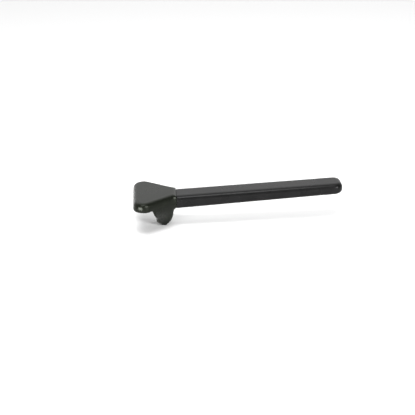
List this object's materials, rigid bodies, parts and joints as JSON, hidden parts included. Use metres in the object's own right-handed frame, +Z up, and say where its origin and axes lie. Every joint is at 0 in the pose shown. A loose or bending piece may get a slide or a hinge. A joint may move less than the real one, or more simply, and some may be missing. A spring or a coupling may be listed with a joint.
{
  "type": "jar lid lifter",
  "caption": "Hand lever with a flat triangular head, a hooked lug under it and a slim straight grip, for lifting a jar lid's rim to let the vacuum out.",
  "frame": {"origin": "middle of the flat lip behind the head's front edge, on the plane that rests on the jar lid", "axes": "+X along the tool from the head to the handle's end; +Z up, away from the lid; the tool is mirrored about Y = 0"},
  "size_m": [0.1324, 0.0434, 0.0248],
  "materials": {
    "head_plastic": "near-black moulded plastic, fine satin grain",
    "grip_plastic": "near-black moulded plastic, semi-gloss",
    "core_steel": "rolled flat bar",
    "screw_steel": "plain stainless steel, pan head"
  },
  "bodies": {
    "root": {"head": "head_plastic", "handle_core": "core_steel", "grip": "grip_plastic", "retaining_screw": "screw_steel"}
  },
  "joints": []
}
